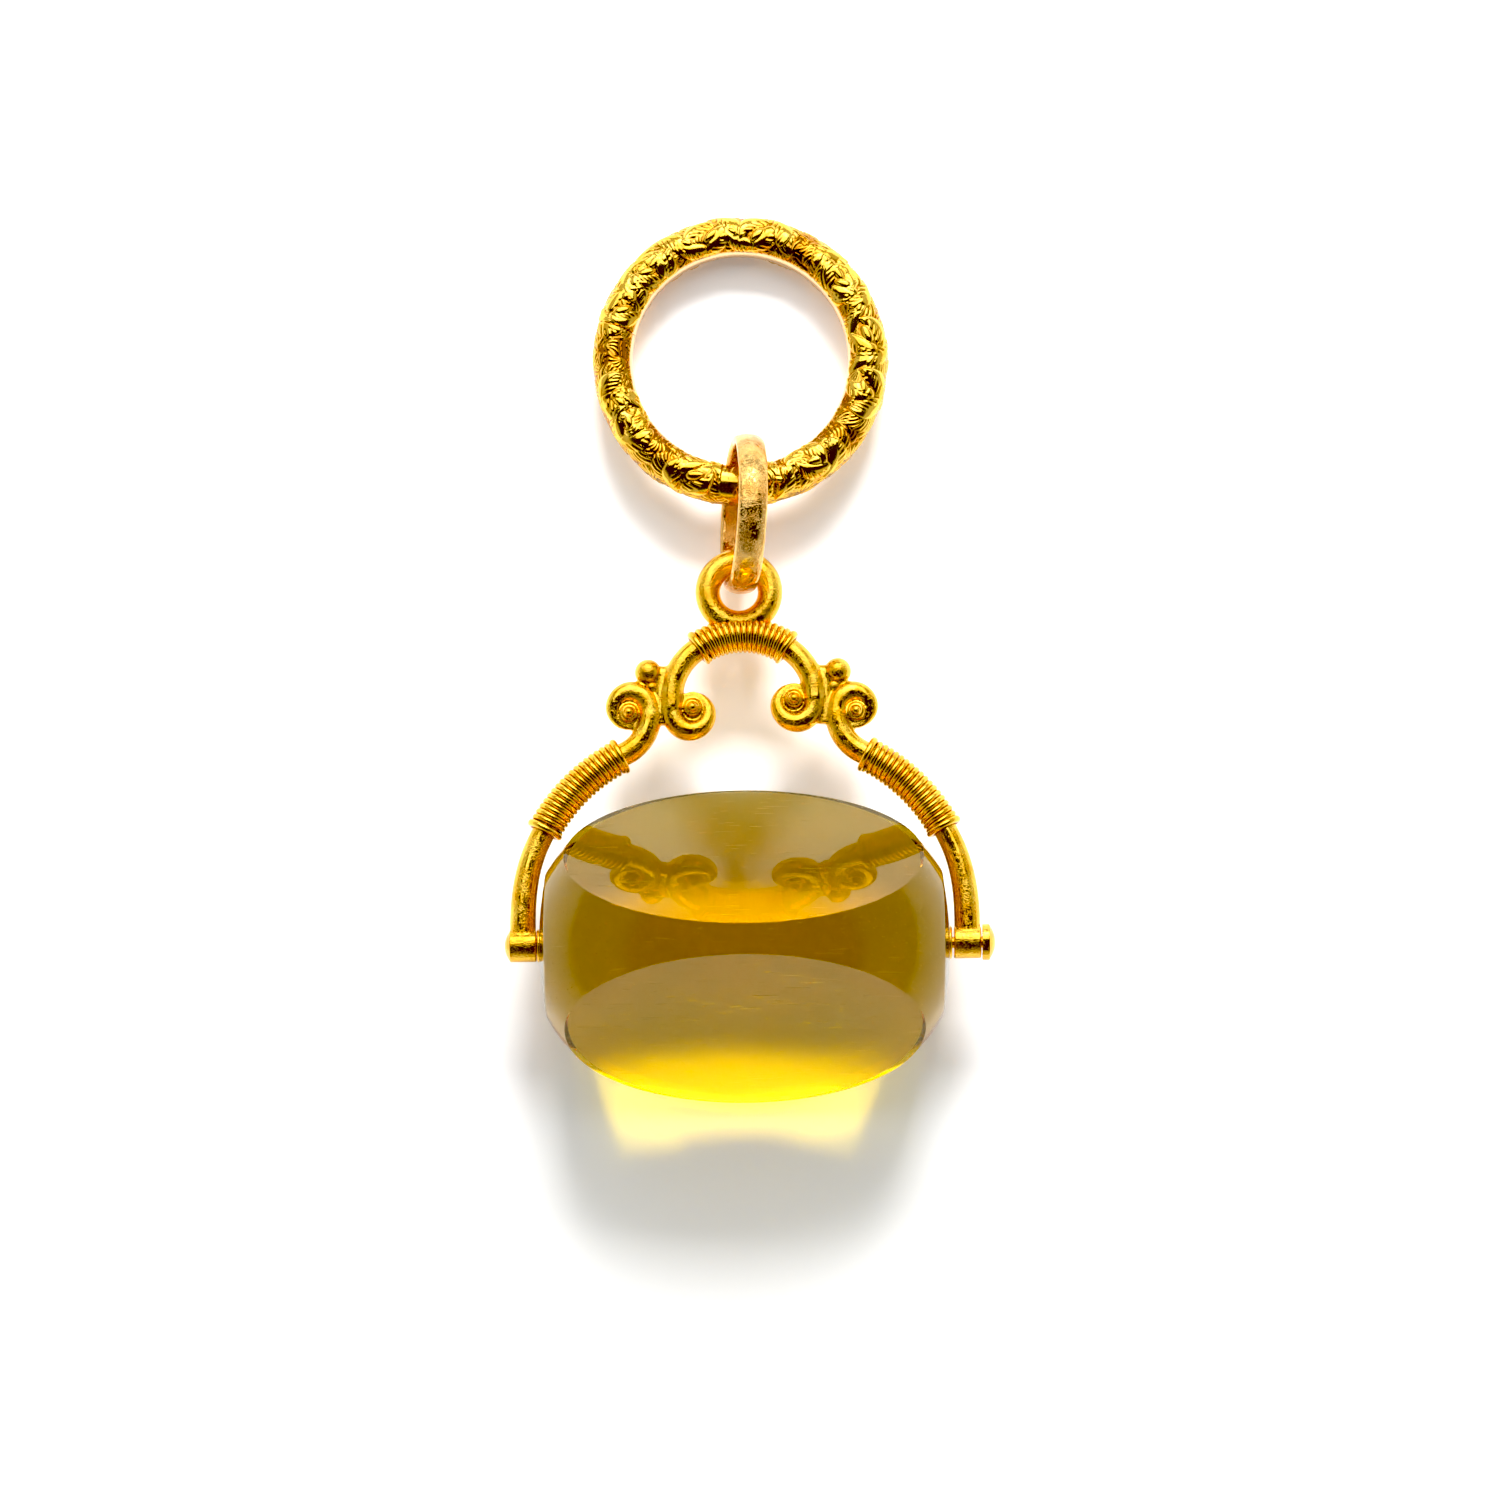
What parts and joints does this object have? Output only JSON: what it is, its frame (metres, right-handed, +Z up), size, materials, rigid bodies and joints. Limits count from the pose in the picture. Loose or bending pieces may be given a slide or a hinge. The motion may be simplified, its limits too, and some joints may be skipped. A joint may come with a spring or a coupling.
{
  "type": "swivel fob pendant",
  "caption": "Gold swivel fob: a faceted citrine barrel turns on pins in a scrolled, wire-bound yoke that hangs by a plain link from a chased split ring.",
  "frame": {"origin": "centre of the stone's resting face, on the table the fob lies on", "axes": "+X along the swivel pins towards the screw, +Y from the stone to the split ring, +Z up from the table"},
  "size_m": [0.0293, 0.054, 0.0164],
  "materials": {
    "citrine": "polished clear yellow-brown quartz",
    "yellow_gold": "polished yellow gold with a warm, worn surface",
    "rose_gold": "polished rose gold with fine scratches",
    "chased_gold": "yellow gold with raised leaf scrolls, polished on the high spots"
  },
  "bodies": {
    "yoke_body": {"yoke": "yellow_gold", "swivel_screw": "yellow_gold", "wire_wrap_top": "yellow_gold", "wire_wrap_left": "yellow_gold", "wire_wrap_right": "yellow_gold", "connecting_link": "rose_gold", "split_ring": "chased_gold"},
    "stone_body": {"swivel_stone": "citrine", "stone_collar_left": "yellow_gold", "stone_collar_right": "yellow_gold"}
  },
  "joints": [
    {"name": "stone_swivel", "type": "hinge", "parent": "yoke_body", "child": "stone_body", "pos_m": [0, 0, 0.00597], "axis": [1, 0, 0], "continuous": true}
  ]
}
